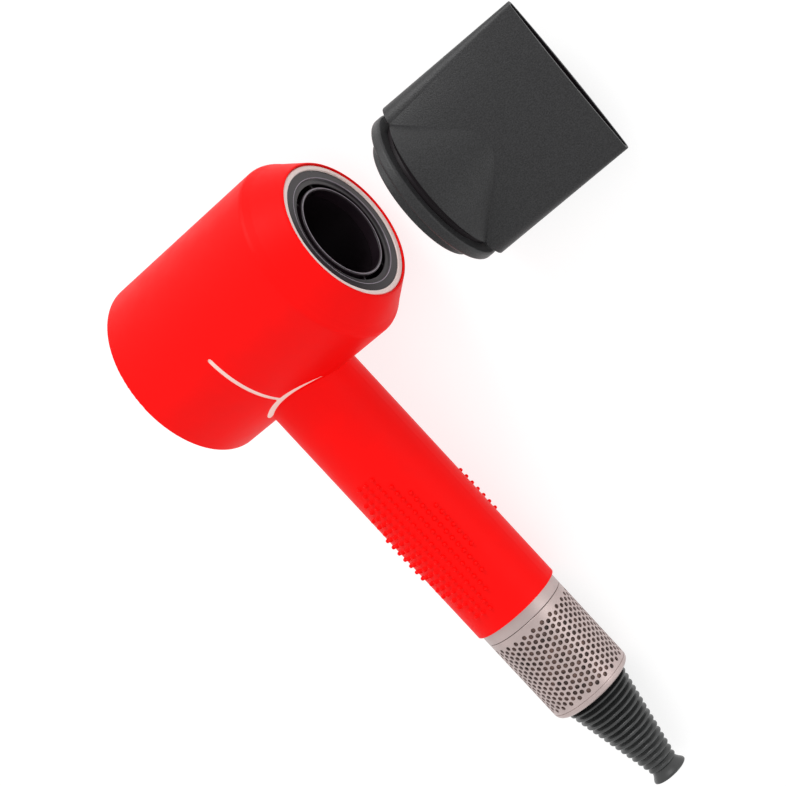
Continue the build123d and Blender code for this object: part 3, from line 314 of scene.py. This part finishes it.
# The fine groove round the cage below its holes: drop past the last of them, and depth.
CAGE_GROOVE = ((0.95, 0.0), (1.03, 0.25), (1.15, 0.25), (1.23, 0.0))
PATCH_ROWS, PATCH_COLUMNS = 2, 4
CELL_EDGE = ([(-0.5 + k / 4, -0.5) for k in range(4)] + [(0.5, -0.5 + k / 4) for k in range(4)]
             + [(0.5 - k / 4, 0.5) for k in range(4)] + [(-0.5, 0.5 - k / 4) for k in range(4)])
WIDE = 2 * math.pi / CAGE["columns"]


def cage_cell(points, faces, turn, middle):
    """One cell of sheet metal with a round hole through it."""
    first, sides = len(points), len(CELL_EDGE)
    for radius in (CAGE["radius"], CAGE["radius"] - CAGE["wall"]):
        for u, v in CELL_EDGE:
            points.append(on_handle(radius, middle + v * CAGE["tall"], turn + u * WIDE))
        for u, v in CELL_EDGE:
            t = math.atan2(v, u)
            across = CAGE["hole"] * math.cos(t) / CAGE["radius"]
            points.append(on_handle(radius, middle + CAGE["hole"] * math.sin(t), turn + across))
    for k in range(sides):
        n = (k + 1) % sides
        edge, rim, inner_edge, inner_rim = (first + sides * ring for ring in range(4))
        faces.append((edge + k, edge + n, rim + n, rim + k))
        faces.append((inner_edge + n, inner_edge + k, inner_rim + k, inner_rim + n))
        faces.append((rim + k, rim + n, inner_rim + n, inner_rim + k))


def cage_patch(points, faces, turn, top):
    """The plain half cell that squares off every other column."""
    for radius in (CAGE["radius"], CAGE["radius"] - CAGE["wall"]):
        first = len(points)
        for row in range(PATCH_ROWS + 1):
            drop = top + CAGE["tall"] / 2 * row / PATCH_ROWS
            for k in range(PATCH_COLUMNS + 1):
                points.append(on_handle(radius, drop, turn + (k / PATCH_COLUMNS - 0.5) * WIDE))
        for row in range(PATCH_ROWS):
            for k in range(PATCH_COLUMNS):
                a = first + (PATCH_COLUMNS + 1) * row + k
                b = a + PATCH_COLUMNS + 1
                faces.append((a, a + 1, b + 1, b))


def make_cage():
    """A sheet-metal cage: columns of round holes, every other one half a pitch lower."""
    points, faces = [], []
    tall, outer, mouth, edge = CAGE["tall"], CAGE["radius"], CAGE["mouth"], CAGE["edge"]
    inner = outer - CAGE["wall"]
    top, end = CAGE["top"], CAGE["end"]
    start = CAGE["first"] - tall / 2
    stop = start + tall * CAGE["rows"]
    for column in range(CAGE["columns"]):
        lower = column % 2
        for row in range(CAGE["rows"] - lower):
            cage_cell(points, faces, WIDE * column, CAGE["first"] + tall * (row + lower / 2))
        if lower:
            cage_patch(points, faces, WIDE * column, start)
            cage_patch(points, faces, WIDE * column, stop - tall / 2)
    bend = CAGE["corner"]
    turned_in = [(outer - bend * (1 - math.cos(t)), end - bend * (1 - math.sin(t)))
                 for t in (math.radians(15 * k) for k in range(7))]
    inward = [(max(mouth, r - CAGE["wall"]), d - CAGE["wall"] * (0.2 + 0.8 * k / 6))
              for k, (r, d) in enumerate(turned_in)]
    groove = [(outer - depth, stop + past) for past, depth in CAGE_GROOVE]
    bands = [[(outer - edge, top), (outer, top + edge), (outer, start)],
             [(inner, start), (inner, top), (outer - edge, top)],
             [(outer, stop)] + groove + turned_in + [(mouth, end), (mouth, end - CAGE["lip"])]
             + list(reversed(inward)) + [(inner, stop)]]
    around = 4 * CAGE["columns"]
    for band in bands:
        first = len(points)
        for radius, drop in band:
            for k in range(around):
                points.append(on_handle(radius, drop, WIDE * (k / 4 - 0.5)))
        for ring in range(len(band) - 1):
            for k in range(around):
                a, b = first + ring * around + k, first + ring * around + (k + 1) % around
                faces.append((a, b, b + around, a + around))
    cage = build("filter_cage_full", points, faces, "filter", "filter_metal", 30)
    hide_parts("filter_cage")


make_cage()


# ---------------------------------------------------------------- body seen in the sleeve's slits
# "low" and "high" are radii about the head's axis.  The crescent lies round the handle's
# root, from "rear" to "front" degrees, thickest at its rear.
SLIT = {"x": 0.15, "half": 1.07, "top": 1.53, "bottom": 34.6, "low": 39.35, "high": 40.55}
CRESCENT = {"offset": 1.4, "radius": 23.3, "half": 1.3, "rear": -42.5, "front": 45.0,
            "low": 39.6, "high": 41.04, "blunt": 14, "taper": 3.5}
SLIT_STEPS, CRESCENT_STEPS = 40, 48


def strip(name, lines):
    """A closed strip from cross-sections of four corners each."""
    points = [corner for line in lines for corner in line]
    faces = [(0, 1, 2, 3), tuple(4 * (len(lines) - 1) + k for k in (3, 2, 1, 0))]
    for n in range(len(lines) - 1):
        for k in range(4):
            faces.append((4 * n + k, 4 * n + (k + 1) % 4, 4 * n + 4 + (k + 1) % 4, 4 * n + 4 + k))
    return build(name, points, faces, "dryer", "body_plastic", 50)


def make_slit_filling(name, side):
    """The pale body under the slit round the barrel, standing up a little into it."""
    lines = []
    for n in range(SLIT_STEPS + 1):
        share = n / SLIT_STEPS
        drop = SLIT["top"] + (SLIT["bottom"] - SLIT["top"]) * (1 - math.cos(share * math.pi / 2))
        end = drop - SLIT["top"]
        half = SLIT["half"]
        if end <= half:
            half = math.sqrt(max(0.0004, end * (2 * half - end)))
        line = []
        low, high = SLIT["low"], SLIT["high"]
        for dx, radius in ((-half, low), (-half, high), (half, high), (half, low)):
            line.append(place(SLIT["x"] + dx, -drop, side * math.sqrt(radius ** 2 - drop ** 2)))
        lines.append(line)
    return strip(name, lines)


def make_crescent_filling(name, side):
    """The pale body under the tapering slit round the handle's root."""
    lines = []
    for n in range(CRESCENT_STEPS + 1):
        share = n / CRESCENT_STEPS
        angle = math.radians(CRESCENT["rear"] + (CRESCENT["front"] - CRESCENT["rear"]) * share)
        blunt = math.sqrt(min(1.0, max(0.002, share * CRESCENT["blunt"])))
        half = CRESCENT["half"] * blunt * (1 - share ** CRESCENT["taper"])
        line = []
        low, high = CRESCENT["low"], CRESCENT["high"]
        for dr, radius in ((-half, low), (-half, high), (half, high), (half, low)):
            x = CRESCENT["offset"] + (CRESCENT["radius"] + dr) * math.sin(angle)
            z = (CRESCENT["radius"] + dr) * math.cos(angle)
            line.append(place(x, -math.sqrt(radius ** 2 - z ** 2), side * z))
        lines.append(line)
    return strip(name, lines)


for word, side in (("up", 1), ("down", -1)):
    make_slit_filling(f"slit_filling_{word}", side)
    make_crescent_filling(f"crescent_filling_{word}", side)


# ---------------------------------------------------------------- rings about the head's axis
SPUN_STEPS, BEAD_STEPS = 160, 10


def spun(name, profile, put, body, slot, look=None, smooth_angle=40):
    """A ring turned from a closed profile of (x, radius) corners."""
    points, faces = [], []
    for x, radius in profile:
        for k in range(SPUN_STEPS):
            a = 2 * math.pi * k / SPUN_STEPS
            points.append(put(x, radius * math.cos(a), radius * math.sin(a)))
    for n in range(len(profile)):
        first, second = n * SPUN_STEPS, (n + 1) % len(profile) * SPUN_STEPS
        for k in range(SPUN_STEPS):
            o = (k + 1) % SPUN_STEPS
            faces.append((first + k, first + o, second + o, second + k))
    return build(name, points, faces, body, slot, smooth_angle, look)


def bead(x, radius, thick):
    """A round profile, for a thin glossy edge that catches the light; its pale finish adds a painted highlight."""
    return [(x + thick * math.sin(t), radius + thick * math.cos(t))
            for t in (2 * math.pi * k / BEAD_STEPS for k in range(BEAD_STEPS))]


# Place along the head, radius and thickness of each.  The step's one stays behind x = 61.3,
# where the ring of the seated nozzle begins.
# Both beads wear the pale finish: a painted highlight along the step's edge and along the bore's rim.
STEP_EDGE, RIM_EDGE = (61.04, 24.95, 0.22), (60.72, 20.05, 0.26)
spun("outlet_step_edge", bead(*STEP_EDGE), place, "dryer", "black_plastic", "painted_highlight_edge")
spun("bore_rim_edge", bead(*RIM_EDGE), place, "dryer", "black_plastic", "painted_highlight_edge")

# The sleeve swells a little towards the outlet, and its lip stands proud of the trim ring.
LIP = [(50.5, 38.80), (52.0, 37.86), (54.0, 36.62), (57.0, 34.72), (59.5, 33.14), (61.2, 32.04),
       (61.8, 31.68), (62.2, 31.36), (62.4, 31.02), (62.35, 30.76), (62.1, 30.66), (61.3, 30.64),
       (60.0, 30.64)]
spun("sleeve_lip", LIP, place, "dryer", "red_silicone", smooth_angle=60)


# ---------------------------------------------------------------- rounded ribs of the strain relief
# Radii shrink from "root" at the first rib's drop to "tip" at the last one's.
RELIEF = {"first": 213.0, "pitch": 2.88, "ribs": 15, "root": 15.5, "tip": 7.2, "last": 253.6,
          "deep": 2.1, "shallower": 0.45, "start": 212.6, "end": 260.2, "bore": 3.6,
          "steps": 8, "lean": 1.25, "crest": 1.1}
# Distance back from the end and radius, down the flared end.
FLARE = ((4.0, 6.2), (3.2, 6.5), (2.2, 7.1), (1.3, 7.8), (0.7, 8.15), (0.25, 8.15), (0.05, 7.85))


def make_relief():
    """A moulded cord guard: soft ribs that shrink down to a flared end."""
    def crest(drop):
        share = (drop - RELIEF["first"]) / (RELIEF["last"] - RELIEF["first"])
        return RELIEF["root"] + (RELIEF["tip"] - RELIEF["root"]) * share

    profile = [(RELIEF["start"], RELIEF["bore"]),
               (RELIEF["start"], crest(RELIEF["first"]) - RELIEF["deep"])]
    for rib in range(RELIEF["ribs"]):
        deep = RELIEF["deep"] * (1 - RELIEF["shallower"] * rib / RELIEF["ribs"])
        for step in range(RELIEF["steps"]):
            share = step / RELIEF["steps"]
            drop = RELIEF["first"] + RELIEF["pitch"] * (rib + share)
            swell = math.sin(math.pi * share ** RELIEF["lean"]) ** RELIEF["crest"] if step else 0.0
            profile.append((drop, crest(drop) - deep * (1 - swell)))
    profile += [(RELIEF["end"] - back, radius) for back, radius in FLARE]
    profile.append((RELIEF["end"] - FLARE[-1][0], RELIEF["bore"]))

    def put(drop, across, up):
        return place(across, -drop, up)

    relief = spun("strain_relief_ribs", profile, put, "dryer", "rubber_black", smooth_angle=50)
    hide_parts("strain_relief")


make_relief()


# ---------------------------------------------------------------- painted shade inside the nozzle's mouth, and a ring in its neck
NOZZLE = {"mouth": 70.7, "wide": 71.2, "tall": 8.6, "end": 4.2, "wall": 1.35, "deep": 16.0,
          "neck": (4.55, 6.15), "neck_radius": (24.05, 29.0), "inset": 0.4,
          "deepen": 0.27, "deepen_end": 0.16, "blunt": 22}
NOZZLE_TURN = next(joint for joint in frame["joints"] if joint["name"] == "nozzle_turn")
OVAL_STEPS, MOUTH_SHADE_STEPS = 24, 4


def on_nozzle(x, y, z):
    """A point in the nozzle's own frame: x along its axis towards the mouth, y along the flat oval."""
    axis = Vector(NOZZLE_TURN["axis"]).normalized()
    side = Vector((0, 1, 0))
    return Vector(NOZZLE_TURN["pos_m"]) + (axis * x + side * y + axis.cross(side) * z) * MM


def oval(x, width, tall, end_tall):
    """A closed loop of points round the flat oval at x."""
    loop = []
    for k in range(2 * OVAL_STEPS):
        t = k / OVAL_STEPS
        y = width / 2 * math.cos(math.pi * t)
        share = abs(2 * y / width)
        round_end = min(1.0, math.sqrt(max(0.0, (1 - share) * NOZZLE["blunt"])))
        high = (end_tall + (tall - end_tall) * (1 - share ** 2)) / 2 * round_end
        loop.append(on_nozzle(x, y, high if k < OVAL_STEPS else -high))
    return loop


def make_mouth_painted_shade():
    """A dark sheet just off the mouth's inner wall: painted shade inside the mouth."""
    walls = NOZZLE["wall"] * 2
    points = []
    for n in range(MOUTH_SHADE_STEPS + 1):
        back = NOZZLE["deep"] * n / MOUTH_SHADE_STEPS
        points += oval(NOZZLE["mouth"] - NOZZLE["inset"] - back, NOZZLE["wide"] - walls,
                       NOZZLE["tall"] - walls + NOZZLE["deepen"] * back,
                       NOZZLE["end"] - walls / 2 + NOZZLE["deepen_end"] * back)
    faces = []
    ring = 2 * OVAL_STEPS
    for n in range(MOUTH_SHADE_STEPS):
        for k in range(ring):
            a, b = n * ring + k, n * ring + (k + 1) % ring
            faces.append((a, b, b + ring, a + ring))
    # The dark duct finish on this sheet paints the shade inside the mouth.
    return build("nozzle_mouth_painted_shade", points, faces, "nozzle", "nozzle_plastic", 60, "duct_plastic")


make_mouth_painted_shade()
near, far = NOZZLE["neck"]
thin, thick = NOZZLE["neck_radius"]
spun("nozzle_neck_seal", [(near, thin), (near, thick), (far, thick), (far, thin)],
     on_nozzle, "nozzle", "nozzle_plastic", "duct_plastic")


# ---------------------------------------------------------------- floor, light, world
# The floor shows white to the camera and in reflections.  "bounce" is its glow for diffuse
# rays, which lights the sides the way a pale table does.
FLOOR = {"half": 3.0, "grey": 0.30, "rough": 0.9, "specular": 0.1, "glow": 0.78, "bounce": 0.45}
WORLD = {"light": 0.90, "seen": 1.0}
LAMP_TARGET = (10, -60, 0)
# Direction, distance and size in metres, power.
LAMPS = {"key": (0.6 * BACK - 0.85 * RIGHT + 0.8 * UP, 1.3, 0.7, 8),
         "fill": (0.6 * BACK + RIGHT + 0.2 * UP, 1.4, 1.0, 4)}


def make_floor():
    low = min(corner[2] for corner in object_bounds())
    half = FLOOR["half"]
    mesh = bpy.data.meshes.new("floor")
    mesh.from_pydata([(-half, -half, low), (half, -half, low), (half, half, low), (-half, half, low)],
                     [], [(0, 1, 2, 3)])
    floor = bpy.data.objects.new("floor", mesh)
    bpy.context.scene.collection.objects.link(floor)
    floor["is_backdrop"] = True
    material = bpy.data.materials.new("floor")
    material.use_nodes = True
    tree = material.node_tree
    shader = tree.nodes["Principled BSDF"]
    shader.inputs["Base Color"].default_value = (FLOOR["grey"], FLOOR["grey"], FLOOR["grey"], 1)
    shader.inputs["Roughness"].default_value = FLOOR["rough"]
    shader.inputs["Specular IOR Level"].default_value = FLOOR["specular"]
    glow = tree.nodes.new("ShaderNodeEmission")
    glow.inputs["Color"].default_value = (1, 1, 1, 1)
    path = tree.nodes.new("ShaderNodeLightPath")
    seen = tree.nodes.new("ShaderNodeMath")
    seen.operation = "MAXIMUM"
    tree.links.new(path.outputs["Is Camera Ray"], seen.inputs[0])
    tree.links.new(path.outputs["Is Glossy Ray"], seen.inputs[1])
    level = tree.nodes.new("ShaderNodeMath")
    level.operation = "MULTIPLY"
    level.inputs[1].default_value = FLOOR["glow"]
    bounce = tree.nodes.new("ShaderNodeMath")
    bounce.operation = "MULTIPLY_ADD"
    bounce.inputs[1].default_value = FLOOR["bounce"]
    tree.links.new(seen.outputs[0], level.inputs[0])
    tree.links.new(path.outputs["Is Diffuse Ray"], bounce.inputs[0])
    tree.links.new(level.outputs[0], bounce.inputs[2])
    tree.links.new(bounce.outputs[0], glow.inputs["Strength"])
    both = tree.nodes.new("ShaderNodeAddShader")
    tree.links.new(shader.outputs[0], both.inputs[0])
    tree.links.new(glow.outputs[0], both.inputs[1])
    tree.links.new(both.outputs[0], tree.nodes["Material Output"].inputs["Surface"])
    floor.data.materials.append(material)


def make_world():
    world = bpy.data.worlds.new("studio")
    bpy.context.scene.world = world
    world.use_nodes = True
    tree = world.node_tree
    ground = tree.nodes["Background"]
    ground.inputs["Color"].default_value = (1, 1, 1, 1)
    path = tree.nodes.new("ShaderNodeLightPath")
    level = tree.nodes.new("ShaderNodeMapRange")
    level.inputs["To Min"].default_value = WORLD["light"]
    level.inputs["To Max"].default_value = WORLD["seen"]
    tree.links.new(path.outputs["Is Camera Ray"], level.inputs["Value"])
    tree.links.new(level.outputs["Result"], ground.inputs["Strength"])


def make_lamp(name, direction, away, size, power):
    target = place(*LAMP_TARGET)
    data = bpy.data.lights.new(name, "AREA")
    data.shape = "DISK"
    data.size = size
    data.energy = power
    lamp = bpy.data.objects.new(name, data)
    bpy.context.scene.collection.objects.link(lamp)
    lamp.location = target + direction.normalized() * away
    lamp.rotation_mode = "QUATERNION"
    lamp.rotation_quaternion = (target - lamp.location).to_track_quat("-Z", "Y")


make_floor()
make_world()
for lamp_name, settings in LAMPS.items():
    make_lamp(lamp_name, *settings)

bpy.context.scene.view_settings.view_transform = "Standard"
